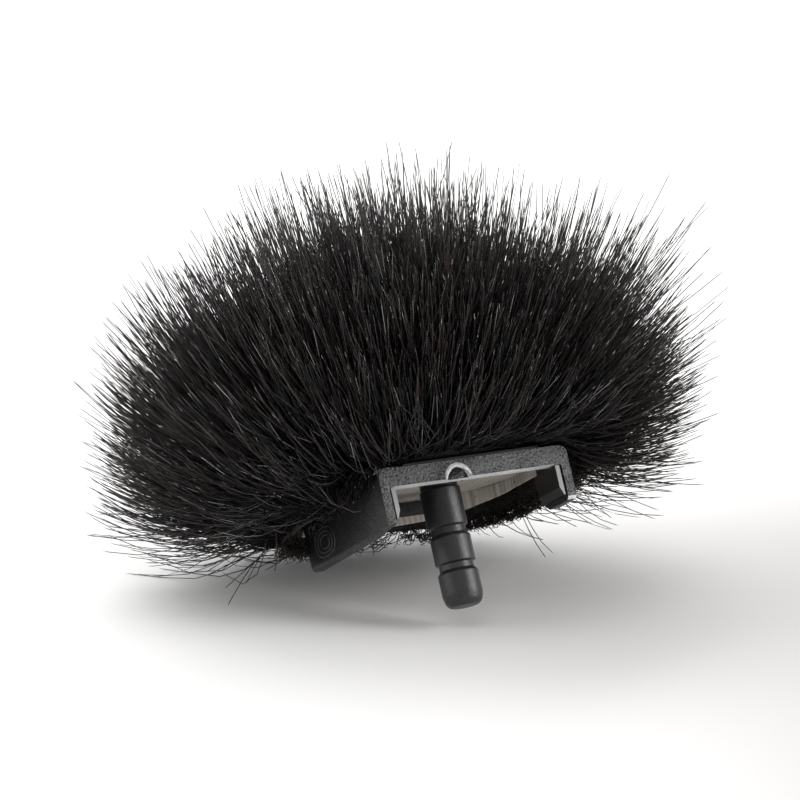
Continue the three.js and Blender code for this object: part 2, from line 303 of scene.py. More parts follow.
HAIR_GREY = hair_material("hair_soft_grey", (0.014, 0.012, 0.012), 0.24, 1.05)
HAIR_GLINT = hair_material("hair_glint", (0.06, 0.058, 0.056), 0.16, 3.2)
UNDERCOAT = hair_material("hair_undercoat", (0.0022, 0.0018, 0.0018), 0.55, 0.22)
THREAD = hair_material("hem_thread", (0.022, 0.018, 0.016), 0.6, 0.3)
PILE_MATERIALS = [HAIR_BLACK, HAIR_BROWN, HAIR_GREY, HAIR_GLINT, UNDERCOAT]
GREY_SLOT, GLINT_SLOT, UNDERCOAT_SLOT = 2, 3, 4


# ---------------- mesh helpers

def link_mesh(name, mesh, materials=()):
    for material in materials:
        mesh.materials.append(material)
    obj = bpy.data.objects.new(name, mesh)
    bpy.context.scene.collection.objects.link(obj)
    return obj


def add_shape(name, points, faces):
    mesh = bpy.data.meshes.new(name)
    mesh.from_pydata([tuple(p) for p in points], [], [tuple(f) for f in faces])
    work = bmesh.new()
    work.from_mesh(mesh)
    bmesh.ops.recalc_face_normals(work, faces=work.faces)
    work.to_mesh(mesh)
    work.free()
    return link_mesh(name, mesh)


def prism(name, outline, low, high, place):
    """A closed prism: outline points (u, v) at the two depths; place(u, v, depth) gives the corner."""
    count = len(outline)
    points = [place(u, v, low) for u, v in outline] + [place(u, v, high) for u, v in outline]
    faces = [tuple(range(count)), tuple(range(count, 2 * count))]
    faces += [(i, (i + 1) % count, count + (i + 1) % count, count + i) for i in range(count)]
    return add_shape(name, points, faces)


def front_prism(name, outline, y0, y1):
    return prism(name, outline, y0, y1, lambda u, v, d: (u, d, v))


def side_prism(name, outline, x0, x1):
    return prism(name, outline, x0, x1, lambda u, v, d: (d, u, v))


def floor_prism(name, outline, z0, z1):
    return prism(name, outline, z0, z1, lambda u, v, d: (u, v, d))


def squarish(value, power):
    """A sine or cosine for a squarer oval; with a power of 2 the oval is round."""
    return math.copysign(abs(value) ** (2 / power), value)


def arc(centre, radius, start, end, steps):
    """Points on an arc, angles in degrees."""
    found = []
    for i in range(steps + 1):
        a = math.radians(start + (end - start) * i / steps)
        found.append((centre[0] + radius * math.cos(a), centre[1] + radius * math.sin(a)))
    return found


def add_modifier(obj, kind, **settings):
    modifier = obj.modifiers.new(kind.lower(), kind)
    for key, value in settings.items():
        setattr(modifier, key, value)


def bake_modifiers(obj):
    graph = bpy.context.evaluated_depsgraph_get()
    graph.update()
    mesh = bpy.data.meshes.new_from_object(obj.evaluated_get(graph), depsgraph=graph)
    obj.modifiers.clear()
    obj.data = mesh
    return obj


def tube_faces(rings, around, closed=False):
    """Faces of a tube through rings of points: it closes on itself, or has a cap at both ends."""
    faces = []
    for ring in range(rings if closed else rings - 1):
        a, b = ring * around, (ring + 1) % rings * around
        for j in range(around):
            k = (j + 1) % around
            faces.append((a + j, b + j, b + k, a + k))
    if not closed:
        faces.append(tuple(range(around)))
        faces.append(tuple((rings - 1) * around + j for j in range(around)))
    return faces


def combine(target, other, operation):
    add_modifier(target, "BOOLEAN", operation=operation, solver="EXACT", object=other)
    bake_modifiers(target)
    bpy.data.objects.remove(other)
    return target


def round_edges(obj, width, segments=3, angle=math.radians(32)):
    add_modifier(obj, "BEVEL", width=width, segments=segments, limit_method="ANGLE",
                 angle_limit=angle, use_clamp_overlap=True)
    return bake_modifiers(obj)


def shade(obj, angle=38):
    for polygon in obj.data.polygons:
        polygon.use_smooth = True
    obj.data.set_sharp_from_angle(angle=math.radians(angle))
    add_modifier(obj, "WEIGHTED_NORMAL", keep_sharp=True)
    return bake_modifiers(obj)


def set_material(obj, material):
    obj.data.materials.clear()
    obj.data.materials.append(material)


def finish_piece(obj, material, slot, *nodes, body="root"):
    """Scales a piece made in millimetres, gives it its material and puts it on its body."""
    obj.data.transform(Matrix.Scale(MM, 4))
    set_material(obj, material)
    if body:
        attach(obj, body)
    if nodes:
        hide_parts(*nodes)


def half_of(source, name, keep_low, cut_x):
    """A capped copy of one side of source, cut by the plane x = cut_x."""
    work = bmesh.new()
    work.from_mesh(source.data)
    parts = work.verts[:] + work.edges[:] + work.faces[:]
    normal = (1, 0, 0) if keep_low else (-1, 0, 0)
    place = (cut_x, 0, 0)
    cut = bmesh.ops.bisect_plane(work, geom=parts, plane_co=place, plane_no=normal, clear_outer=True)
    rim = [e for e in cut["geom_cut"] if isinstance(e, bmesh.types.BMEdge)]
    bmesh.ops.contextual_create(work, geom=rim)
    bmesh.ops.recalc_face_normals(work, faces=work.faces)
    mesh = bpy.data.meshes.new(name)
    work.to_mesh(mesh)
    work.free()
    return link_mesh(name, mesh)


# ---------------- moulded clip

EDGE_ROUND = 0.15
CORNER = 0.75
SPLIT = hook_low.x - 0.1  # where the bar turns into the arm or the hook
GATE_RADIUS = 1.1
GATE_Z = -0.1
BEAD_POWER = 2.6
# After a clip piece's plain material: the grain with painted light, the painted reflection of the
# edges, and the painted shade behind the rib.
GRAIN_AND_LIGHT_SLOT, REFLECTION_SLOT, PAINTED_SHADE_SLOT = 1, 2, 3  # a clip piece's materials after its plain one


def rounded_section(x_inner, x_outer, low):
    """A plate's section in (x, z), with its outer top corner rounded."""
    side = math.copysign(1, x_outer)
    inner, outer = abs(x_inner), abs(x_outer)
    bend = arc((outer - CORNER, BAR_TOP - CORNER), CORNER, 90, 0, 6)
    points = [(inner, low), (inner, BAR_TOP)] + bend + [(outer, low)]
    return [(side * x, z) for x, z in points]


def make_bar_block():
    """The bar between its two rounded top corners, with small fillets inside the legs."""
    left, right = arm_low.x, hook_high.x
    inner = 0.25
    outline = [(left, -inner)] + arc((left + CORNER, BAR_TOP - CORNER), CORNER, 180, 90, 6)
    outline += arc((right - CORNER, BAR_TOP - CORNER), CORNER, 90, 0, 6)
    outline += [(right, -inner), (right - PLATE, -inner)]
    outline += arc((right - PLATE - inner, -inner), inner, 0, 90, 4)[1:]
    outline += arc((left + PLATE + inner, -inner), inner, 90, 180, 4)
    return front_prism("clip_front", outline, BAR_FRONT, BAR_BACK)


def make_plate(outline, x_inner, x_outer, y0, y1, z0):
    """A leg's side outline (y, z), as thick as from x_inner to x_outer."""
    low, high = sorted((x_inner, x_outer))
    plate = side_prism("plate", outline, low - 1, high + 1)
    section = rounded_section(x_inner, x_outer, z0 - 1)
    return combine(plate, front_prism("section", section, y0 - 1, y1 + 1), "INTERSECT")


def make_arm_plate():
    """The long plate: a shallow waist under the bar, then a straight lower edge to its heel."""
    y0, y1, z0 = BAR_FRONT, arm_high.y, arm_low.z
    heel, waist = 0.65, 0.28
    outline = [(y0, BAR_TOP + 1), (y0, z0 + waist + 0.05), (y0 + 0.9, z0 + waist)]
    outline += [(y0 + 1.9, z0 + waist * 0.75), (y0 + 2.8, z0 + waist * 0.3), (y0 + 3.8, z0)]
    outline += arc((y1 - heel, z0 + heel), heel, -90, 0, 6)
    outline += arc((y1 - 0.4, BAR_TOP - 0.4), 0.4, 0, 90, 3) + [(y1 - 0.4, BAR_TOP + 1)]
    return make_plate(outline, arm_low.x + PLATE, arm_low.x, y0, y1, z0)


def make_hook_plate():
    y0, y1, z0 = BAR_FRONT, hook_high.y, hook_low.z
    outline = [(y0, BAR_TOP + 1)] + arc((y0 + 0.5, z0 + 0.5), 0.5, 180, 270, 4)
    outline += [(y1 - 0.95, z0), (y1 - 0.3, z0 + 0.4), (y1, z0 + 0.95), (y1, BAR_TOP + 1)]
    return make_plate(outline, hook_high.x - PLATE, hook_high.x, y0, y1, z0)


def make_tongue():
    """The ledge behind the bar that holds the plug."""
    half, low, high = TONGUE
    x, y1 = PLUG_AT.x, frame_high.y
    outline = [(x - half, BAR_BACK - 0.3), (x + half, BAR_BACK - 0.3)]
    outline += arc((x + half - 1, y1 - 1), 1, 0, 90, 5)
    outline += arc((x - half + 1, y1 - 1), 1, 90, 180, 5)
    return floor_prism("tongue", outline, low, high)


def make_clip():
    clip = make_bar_block()
    for other in (make_arm_plate(), make_hook_plate(), make_tongue()):
        combine(clip, other, "UNION")
    gate_outline = arc((PLUG_AT.x, GATE_Z), GATE_RADIUS, 0, 360, 27)[:-1]
    gate = front_prism("gate", gate_outline, BAR_FRONT - 1, BAR_FRONT + 0.5)
    combine(clip, gate, "DIFFERENCE")
    return round_edges(clip, EDGE_ROUND)


def make_gate_rim():
    """The low crescent of flash round the gate recess."""
    around, across = 30, 8
    middle = GATE_RADIUS + 0.1
    points = []
    for i in range(around + 1):
        t = math.radians(8 + 172 * i / around)
        wide = 0.19 * math.sin(math.pi * (i + 0.5) / (around + 1)) ** 0.5
        wide *= 1 + 0.35 * (i / around)
        for j in range(across):
            a = 2 * math.pi * j / across
            reach = middle + wide * math.cos(a)
            x = PLUG_AT.x + reach * math.cos(t)
            z = GATE_Z + reach * math.sin(t)
            points.append((x, BAR_FRONT - 0.09 * math.sin(a), z))
    return add_shape("gate_rim", points, tube_faces(around + 1, across))


def make_gate_stub():
    """The torn sprue stub inside the gate recess."""
    rng = np.random.default_rng(SEED)
    work = bmesh.new()
    bmesh.ops.create_icosphere(work, subdivisions=4, radius=1.0)
    for vert in work.verts:
        rough = rng.normal(0, 0.05)
        wave = 0.16 * math.sin(5 * vert.co.x + 1.3) * math.cos(6 * vert.co.z)
        vert.co *= 1 + rough + wave
        vert.co = Vector((vert.co.x * 0.7, vert.co.y * 0.3, vert.co.z * 0.36))
        vert.co += Vector((PLUG_AT.x + 0.1, BAR_FRONT + 0.45, 0.4))
    mesh = bpy.data.meshes.new("gate_stub")
    work.to_mesh(mesh)
    work.free()
    return link_mesh("gate_stub", mesh)


def oval_bead(centre, half_y, half_z, radius):
    """A raised bead round an oval on the arm's outer face."""
    around, across = 72, 8
    points = []
    for i in range(around):
        t = 2 * math.pi * i / around
        y = centre.y + half_y * squarish(math.cos(t), BEAD_POWER)
        z = centre.z + half_z * squarish(math.sin(t), BEAD_POWER)
        out = Vector((0, half_z * math.cos(t), half_y * math.sin(t))).normalized()
        for j in range(across):
            a = 2 * math.pi * j / across
            step = Vector((-math.sin(a) * radius * 0.6, 0, 0)) + out * math.cos(a) * radius
            points.append(Vector((centre.x, y, z)) + step)
    return add_shape("bead", points, tube_faces(around, across, closed=True))


def paint_front_light(obj):
    """Gives the faces that look forward the coarse grain made pale with painted light, and their
    rounded edges, the bar's underside and the gate recess's rim a painted reflection.
    """
    obj.data.materials.append(FACE_GRAIN_AND_LIGHT)
    obj.data.materials.append(EDGE_REFLECTION)
    for polygon in obj.data.polygons:
        corners = [obj.data.vertices[i].co / MM for i in polygon.vertices]
        reach = max(math.hypot(c.x - PLUG_AT.x, c.z - GATE_Z) for c in corners)
        middle, normal = polygon.center / MM, polygon.normal
        # The bar's underside: painted reflection of the pale table.
        if normal.z < -0.9 and middle.z > -0.5 and middle.y < BAR_BACK:
            polygon.material_index = REFLECTION_SLOT
        if middle.y > BAR_FRONT + 0.35 or reach < GATE_RADIUS - 0.05:
            continue
        # The gate recess's rim and the rounded front edges get the painted reflection; the flat forward
        # faces get the grain with painted light.
        if reach < GATE_RADIUS + 0.45:
            polygon.material_index = REFLECTION_SLOT
        elif normal.y < -0.94:
            polygon.material_index = GRAIN_AND_LIGHT_SLOT
        elif normal.y < -0.2 and normal.z < 0.3:
            polygon.material_index = REFLECTION_SLOT


def join(target, others):
    with bpy.context.temp_override(active_object=target, selected_editable_objects=[target, *others]):
        bpy.ops.object.join()
    return target


def make_arm(clip):
    arm = half_of(clip, "arm_with_rib", True, -SPLIT)
    rib_front, rib_back, rib_low, rib_high = 13.4, 14.8, 0.1, 1.2
    corners = [(arm_low.x + 0.5, rib_front), (arm_high.x, rib_front)]
    corners += [(arm_high.x, rib_back), (arm_low.x + 0.5, rib_back)]
    rib = round_edges(floor_prism("rib", corners, rib_low, rib_high), 0.18)
    combine(arm, rib, "UNION")
    shade(arm)
    grip = Vector((arm_low.x, 12.0, -1.5))
    half_y, half_z, thick = 2.1, 1.25, 0.09
    beads = [oval_bead(grip, half_y * size, half_z * size, thick) for size in (1, 0.72, 0.44)]
    for bead in beads:
        shade(bead, 60)
    join(arm, beads)
    finish_piece(arm, CLIP, "clip_plastic", "left_arm", body=None)
    paint_front_light(arm)
    arm.data.materials.append(PAINTED_SHADE)
    # The rib and the arm's inner side behind the rib's front take the painted shade.
    for polygon in arm.data.polygons:
        middle = polygon.center / MM
        if middle.x > arm_low.x + PLATE + 0.05 and middle.y > rib_front - 0.1:
            polygon.material_index = PAINTED_SHADE_SLOT
    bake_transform(arm)


def make_hook(clip):
    hook = shade(half_of(clip, "short_hook", False, SPLIT))
    finish_piece(hook, CLIP, "clip_plastic", "right_hook", body=None)
    paint_front_light(hook)
    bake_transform(hook)


def make_bar(clip):
    bar = half_of(clip, "front_bar", True, SPLIT)
    trimmed = half_of(bar, "front_bar_body", False, -SPLIT)
    bpy.data.objects.remove(bar)
    shade(trimmed)
    join(trimmed, [shade(make_gate_stub(), 80), shade(make_gate_rim(), 80)])
    finish_piece(trimmed, CLIP, "clip_plastic", "clip_frame")
    paint_front_light(trimmed)


def make_plug():
    """The turned profile of the dummy plug, with soft shoulders at the grooves and the tip."""
    r = 1.75
    neck, groove, stem, head = r - 0.12, r - 0.25, 1.1, 1.6
    tip = plug_low.z
    profile = [(0, 1.55), (head - 0.1, 1.55), (head, 1.47), (head, 1.25), (stem, 1.25), (stem, 0.75)]
    profile += [(neck - 0.05, 0.75), (neck, 0.7), (neck, 0.02), (neck + 0.02, -0.03)]
    profile += [(r - 0.03, -0.07), (r, -0.12), (r, -0.2)]
    for top, bottom in ((-3.3, -4.3), (-6.45, -7.4)):
        profile += [(r, top), (r - 0.02, top - 0.04), (groove + 0.04, top - 0.13), (groove, top - 0.17)]
        profile += [(groove, bottom + 0.32), (groove + 0.03, bottom + 0.27)]
        profile += [(r - 0.04, bottom + 0.05), (r, bottom - 0.03), (r, bottom - 0.1)]
    profile += [(r, tip + 1.12), (r - 0.015, tip + 1.02)]
    profile += [(r - 0.1, tip + 0.62), (r - 0.2, tip + 0.36), (r - 0.33, tip + 0.17)]
    profile += [(r - 0.5, tip + 0.05), (r - 0.66, tip), (0, tip)]
    sides = 128
    points, faces, rings = [], [], []
    for radius, z in profile:
        if radius == 0:
            rings.append([len(points)])
            points.append((PLUG_AT.x, PLUG_AT.y, z))
            continue
        rings.append([len(points) + i for i in range(sides)])
        for i in range(sides):
            a = 2 * math.pi * i / sides
            points.append((PLUG_AT.x + radius * math.cos(a), PLUG_AT.y + radius * math.sin(a), z))
    for upper, lower in zip(rings, rings[1:]):
        for i in range(sides):
            k = (i + 1) % sides
            if len(upper) == 1:
                faces.append((upper[0], lower[i], lower[k]))
            elif len(lower) == 1:
                faces.append((upper[i], lower[0], upper[k]))
            else:
                faces.append((upper[i], lower[i], lower[k], upper[k]))
    plug = add_shape("grooved_plug", points, faces)
    finish_piece(shade(plug, 40), PLUG, "plug_plastic", "dummy_plug")


clip_whole = make_clip()
make_arm(clip_whole)
make_hook(clip_whole)
make_bar(clip_whole)
bpy.data.objects.remove(clip_whole)
make_plug()

for node in ("left_grip_strip", "right_grip_strip"):
    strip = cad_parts[node]
    set_material(strip, STRIP)
    add_modifier(strip, "BEVEL", width=0.07 * MM, segments=2, limit_method="ANGLE")


# ---------------- lining, foam, tape

def mouth_point(inset, t):
    """A point (x, y) on the mouth's outline, moved in by inset."""
    x = (HEM_A - inset) * squarish(math.cos(t), MOUTH_POWER)
    return x, MOUTH_Y + (HEM_B - inset) * squarish(math.sin(t), MOUTH_POWER)


def thicken(obj, depth, levels=1):
    add_modifier(obj, "SOLIDIFY", thickness=depth, offset=0)
    if levels:
        add_modifier(obj, "SUBSURF", levels=levels, render_levels=levels)
    return bake_modifiers(obj)


def make_lining_ceiling():
    """The knit panel stretched over the clip, with its cross seam and a little slack."""
    rings, around = 18, 96
    middle_z = (ceiling_low.z + ceiling_high.z) / 2

    def on_panel(x, y):
        ridge = -0.1 * math.exp(-((y - ceiling_seam_y) / 0.14) ** 2)
        slack = 0.05 * math.sin(1.7 * x + 0.6 * y) * math.sin(0.9 * y)
        return x, y, middle_z + ridge + slack

    points, faces = [on_panel(0, MOUTH_Y)], []
    for ring in range(1, rings + 1):
        share = ring / rings
        for i in range(around):
            x, y = mouth_point(LINING_INSET, 2 * math.pi * i / around)
            points.append(on_panel(x * share, MOUTH_Y + (y - MOUTH_Y) * share))
    for i in range(around):
        k = (i + 1) % around
        faces.append((0, 1 + i, 1 + k))
        for ring in range(rings - 1):
            a, b = 1 + ring * around, 1 + (ring + 1) * around
            faces.append((a + i, b + i, b + k, a + k))
    sheet = add_shape("lining_ceiling", points, faces)
    thicken(sheet, 0.16)
    finish_piece(shade(sheet, 60), LINING, "lining_knit", "lining_ceiling_front", "lining_ceiling_rear")


def band_grid(name, inset, low, high, columns, rows, wave, end=MOUTH_TO):
    """A strip of cloth round the mouth; wave(t, share) moves a point in by its first value and up
    by its second."""
    points, faces = [], []
    for row in range(rows + 1):
        share = row / rows
        for column in range(columns + 1):
            t = MOUTH_FROM + (end - MOUTH_FROM) * column / columns
            move_in, move_up = wave(t, share)
            x, y = mouth_point(inset + move_in, t)
            points.append((x, y, low + (high - low) * share + move_up))
    for row in range(rows):
        for column in range(columns):
            a = row * (columns + 1) + column
            faces.append((a, a + 1, a + columns + 2, a + columns + 1))
    return add_shape(name, points, faces)


def make_lining_wall():
    def wave(t, share):
        rise = 1.25 * max(0.0, math.cos(t)) ** 1.3 * (1 - share)
        fold = 0.016 * math.sin(23 * t) + 0.012 * math.sin(41 * t + 1)
        return 0.07 + fold * (1 - share * 0.6), rise + 0.03 * math.sin(9 * t) * (1 - share)

    end = math.radians(188)
    band = band_grid("lining_turned_edge", 1.2, wall_low.z, wall_high.z - 0.1, 220, 10, wave, end)
    thicken(band, 0.14)
    finish_piece(shade(band, 60), LINING, "lining_knit", "lining_wall")


def make_hem():
    """The fur fabric's turned edge: a soft roll that ends just above the overlock thread."""
    columns, around = 200, 14
    points = []
    inset, half = 0.52, 0.36
    middle = (hem_low.z + hem_high.z) / 2 + 0.1
    tall = (hem_high.z - hem_low.z) / 2 - 0.1
    for column in range(columns + 1):
        t = MOUTH_FROM + (MOUTH_TO - MOUTH_FROM) * column / columns
        lump = 1 + 0.06 * math.sin(31 * t) + 0.05 * math.sin(53 * t + 2)
        for j in range(around):
            a = 2 * math.pi * j / around
            x, y = mouth_point(inset + half * lump * math.cos(a), t)
            points.append((x, y, middle + tall * lump * math.sin(a)))
    hem = add_shape("hem_roll", points, tube_faces(columns + 1, around))
    finish_piece(shade(hem, 70), BACKING, "fur_backing", "hem_band")


def dome_point(t, s, grow=0.0):
    """A point on the backing cloth: t goes round, s from 0 at the rim to 1 at the crown."""
    t, s = np.asarray(t, float), np.asarray(s, float)
    rise = s * math.pi / 2
    bulge = 0.84 + 0.16 * np.sin(np.minimum(1, 3 * s) * math.pi / 2)
    spread = np.cos(np.maximum(0, rise - 0.25) / (math.pi / 2 - 0.25) * math.pi / 2) * bulge
    x = DOME.x + (ROOT_A + grow) * spread * np.cos(t)
    y = DOME.y + (ROOT_B + grow) * spread * np.sin(t)
    z = ROOT_LOW + (ROOT_TOP + grow - ROOT_LOW) * np.sin(rise)
    return np.stack([x, y, z], axis=-1)


def dome_grid(name, grow, columns=96, rows=40, closed_floor=False):
    points, faces = [], []
    for row in range(rows):
        for column in range(columns):
            points.append(dome_point(2 * math.pi * column / columns, row / rows, grow))
    points.append(dome_point(0, 1, grow))
    top = len(points) - 1
    for column in range(columns):
        k = (column + 1) % columns
        for row in range(rows - 1):
            a, b = row * columns, (row + 1) * columns
            faces.append((a + column, a + k, b + k, b + column))
        faces.append(((rows - 1) * columns + column, (rows - 1) * columns + k, top))
    if closed_floor:
        faces.append(tuple(range(columns)))
    return add_shape(name, points, faces)


def make_backing():
    """The sewn knit cloth that the pile grows from, as one dome with its wall thickness."""
    cloth = dome_grid("fur_backing_cloth", -0.3)
    thicken(cloth, 0.5, levels=0)
    finish_piece(shade(cloth, 60), BACKING, "fur_backing")


def make_foam():
    foam = dome_grid("foam_dome", -BACKING_OUT, 72, 30, closed_floor=True)
    finish_piece(shade(foam, 50), FOAM, "open_cell_foam", "foam_core")


def make_tape():
    low, high = box_mm("bond_tape")
    outline = [(low.x, low.y), (high.x, low.y), (high.x, high.y), (low.x, high.y)]
    tape = floor_prism("tape_layer", outline, low.z, high.z)
    round_edges(tape, 0.05, 2)
    finish_piece(shade(tape), TAPE, "bond_tape", "bond_tape")


make_foam()
make_tape()
make_lining_ceiling()
make_lining_wall()
make_hem()
make_backing()

set_material(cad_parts["crown_seam_thread"], THREAD)


# ---------------- fibres

def fibre_mesh(name, lines, radii, slots, materials):
    """Closed three-sided tubes along lines (n, k, 3), with radii (n, k); slots (n, k - 1) are the
    materials of their lengths."""
    count, steps, _ = lines.shape
    tangent = np.gradient(lines, axis=1)
    tangent /= np.linalg.norm(tangent, axis=2, keepdims=True) + 1e-12
    hint = np.cross(tangent[:, 0], [0.31, 0.62, 0.72])
    hint /= np.linalg.norm(hint, axis=1, keepdims=True) + 1e-12
    side = np.cross(tangent, hint[:, None])
    side /= np.linalg.norm(side, axis=2, keepdims=True) + 1e-12
    other = np.cross(side, tangent)
    ring_count = steps - 1
    rings = []
    for turn in (0, 2 * math.pi / 3, 4 * math.pi / 3):
        around = math.cos(turn) * side[:, :-1] + math.sin(turn) * other[:, :-1]
        rings.append(lines[:, :-1] + around * radii[:, :-1, None])
    body = np.stack(rings, axis=2).reshape(count, ring_count * 3, 3)
    points = np.concatenate([body, lines[:, -1:]], axis=1)
    per = ring_count * 3 + 1

    quads = []
    for ring in range(ring_count - 1):
        for j in range(3):
            k = (j + 1) % 3
            quads.append((ring * 3 + j, ring * 3 + k, ring * 3 + 3 + k, ring * 3 + 3 + j))
    last = (ring_count - 1) * 3
    tris = [(last + j, last + (j + 1) % 3, per - 1) for j in range(3)] + [(2, 1, 0)]
    offsets = (np.arange(count) * per)[:, None, None]
    quad_loops = (np.array(quads)[None] + offsets).reshape(count, -1)
    tri_loops = (np.array(tris)[None] + offsets).reshape(count, -1)
    loops = np.concatenate([quad_loops, tri_loops], axis=1).ravel()
    sizes = np.tile([4] * len(quads) + [3] * len(tris), count)
    starts = np.concatenate([[0], np.cumsum(sizes)[:-1]])

    mesh = bpy.data.meshes.new(name)
    mesh.vertices.add(count * per)
    mesh.vertices.foreach_set("co", (points * MM).astype(np.float32).ravel())
    mesh.loops.add(len(loops))
    mesh.loops.foreach_set("vertex_index", loops.astype(np.int32))
    mesh.polygons.add(len(sizes))
    mesh.polygons.foreach_set("loop_start", starts.astype(np.int32))
    mesh.polygons.foreach_set("loop_total", sizes.astype(np.int32))
    face_slots = np.concatenate([np.repeat(slots, 3, axis=1), slots[:, :1]], axis=1)
    mesh.polygons.foreach_set("material_index", face_slots.astype(np.int32).ravel())
    mesh.polygons.foreach_set("use_smooth", np.ones(len(sizes), bool))
    mesh.update(calc_edges=True)
    return link_mesh(name, mesh, materials)


def each(values):
    """One value per hair, to multiply lines (n, k, 3) by."""
    return values[:, None, None]


def unit(vectors):
    return vectors / (np.linalg.norm(vectors, axis=-1, keepdims=True) + 1e-12)


def nearest(points, seeds, block=4000):
    found = np.empty(len(points), int)
    for start in range(0, len(points), block):
        part = points[start:start + block]
        away = ((part[:, None] - seeds[None]) ** 2).sum(-1)
        found[start:start + block] = away.argmin(1)
    return found


PILE_LENGTH = 15.4
STRANDS = 64000
GUARD_SHARE = 0.27  # long glossy hairs; the rest is the short dark undercoat
THINNING = 0.75, 2.0  # how steeply the guard hairs thin out, and over how many fringe depths
TUFTS = (  # places where the coat stands out or dips: azimuth, elevation, half width, change
    (-26, 23, 15, 0.39), (-26, 53, 8, -0.14), (-26, 70, 9, 0.18), (154, 79, 6, 0.06),
    (154, 56, 9, -0.03), (154, 35, 7, 0.03), (-110, 48, 12, 0.06),
)
UNDERCOAT_REACH = 0.4, 0.07  # mean and spread of its length, as a share of the coat's
CLUMPS = (  # hairs that lean together: how many clumps, spread of their way, pull, how late it acts
    (150, 0.16, 0.13, 1.2), (1800, 0.1, 0.04, 1.4),
)
GLOSSY = (GREY_SLOT, 0.36, 3), (GLINT_SLOT, 0.28, 1)  # slot, share of hairs, longest stretch
MOST_MOVED = 0.9  # hairs that the clip or the table would move further are left out
STRAND_RADIUS = 0.05
SKIRT_RADIUS = 0.048
THREAD_RADIUS = 0.045
ALONG = np.array([0, 0.16, 0.32, 0.48, 0.64, 0.8, 0.96, 1.0])
HEM_SHARE = 0.17  # part of the strands that grow from the hem's outside
PIECE_STRANDS = 4900  # most strands in one piece
CROWN_FROM = crown_low.z * 0.62 + 3.2  # roots above this height belong to the crown's panel
UP = np.array([0, 0, 1.0])
LOOSE_HAIRS = (  # where on the mouth's edge, then how far out, down and aside they reach
    (152, 5.5, 4.8, 0.6), (158, 3.6, 3.2, -0.8), (144, 7.0, 1.6, 0.9), (138, 6.0, 2.8, 0.2),
    (-14, 8.4, 1.4, 0.8), (4, 5.0, 1.6, -1.0), (20, 7.4, 0.6, 0.5), (-24, 4.2, 1.8, 0.4),
)


def dome_normal(t, s):
    step = 1e-3
    along_t = dome_point(t + step, s) - dome_point(t - step, s)
    along_s = dome_point(t, np.minimum(s + step, 1)) - dome_point(t, np.maximum(s - step, 0))
    return unit(np.cross(along_t, along_s))


def scatter_dome(rng, count):
    """Evenly spread roots on the dome: candidates are kept in proportion to the area they stand for."""
    tries = count * 4
    t = rng.uniform(0, 2 * math.pi, tries)
    s = rng.uniform(0, 0.995, tries)
    step = 1e-3
    along_t = (dome_point(t + step, s) - dome_point(t - step, s)) / (2 * step)
    along_s = (dome_point(t, s + step) - dome_point(t, s - step)) / (2 * step)
    area = np.linalg.norm(np.cross(along_t, along_s), axis=1)
    keep = rng.uniform(0, area.max() * 1.001, tries) < area
    t, s = t[keep][:count], s[keep][:count]
    return dome_point(t, s), dome_normal(t, s), t, s


def scatter_hem(rng, count):
    """Roots on the outside of the hem, which the lowest hairs grow from."""
    t = rng.uniform(MOUTH_FROM, MOUTH_TO, count)
    z = rng.uniform(hem_low.z + 0.2, ROOT_LOW + 0.4, count)
    x, y = np.array([mouth_point(0.1, a) for a in t]).T
    ahead = np.array([mouth_point(0.1, a + 0.01) for a in t])
    normal = unit(np.stack([ahead[:, 1] - y, -(ahead[:, 0] - x), np.full(count, -1e-3)], axis=1))
    return np.stack([x, y, z], axis=1), normal


def grow(roots, start, lift, length):
    """Hairs that leave along start and bend upwards by lift over their length."""
    fine = 24
    u = (np.arange(fine) + 0.5) / fine
    heading = unit(start[:, None] + (lift[:, None] * u)[..., None] * UP)
    walk = np.cumsum(heading, axis=1) / fine
    walk = np.concatenate([np.zeros((len(roots), 1, 3)), walk], axis=1)
    at = ALONG * fine
    lower = np.minimum(at.astype(int), fine - 1)
    share = (at - lower)[None, :, None]
    path = walk[:, lower] * (1 - share) + walk[:, lower + 1] * share
    return roots[:, None] + path * each(length)


def comb(roots, normals):
    """How the pile was brushed: upwards at the left and the front, less at the right."""
    azimuth = np.arctan2(normals[:, 1], normals[:, 0])
    height = np.clip((roots[:, 2] - hem_low.z) / 5.5, 0.12, 1)
    lift = (1.12 + 0.38 * np.cos(azimuth - math.radians(180))) * height
    low = np.clip((ROOT_LOW + 1.2 - roots[:, 2]) / 3, 0, 1)
    tilt = low * (0.48 + 0.2 * np.cos(azimuth))
    return azimuth, lift, tilt


def reach_by_side(azimuth, normals, roots):
    """The coat's full length as a share of PILE_LENGTH: longest at the left, shorter on the crown
    and short along the hem, plus the tufts."""
    rise = np.clip((normals[:, 2] - 0.45) / 0.35, 0, 1)
    side = 1 - rise * rise * (3 - 2 * rise)
    left = np.clip(np.cos(azimuth - math.radians(160)), 0, 1)
    right = np.clip(np.cos(azimuth + math.radians(20)), 0, 1)
    hem = np.clip((ROOT_LOW + 0.6 - roots[:, 2]) / 2, 0, 1)
    share = (1 + side * (0.02 + 0.1 * left + 0.02 * right)) * (1 - 0.5 * hem)
    for around, above, wide, change in TUFTS:
        flat = math.cos(math.radians(above))
        way = [flat * math.cos(math.radians(around)), flat * math.sin(math.radians(around))]
        way.append(math.sin(math.radians(above)))
        apart = np.degrees(np.arccos(np.clip(normals @ np.array(way), -1, 1)))
        share += change * np.exp(-(apart / wide) ** 2)
    return share


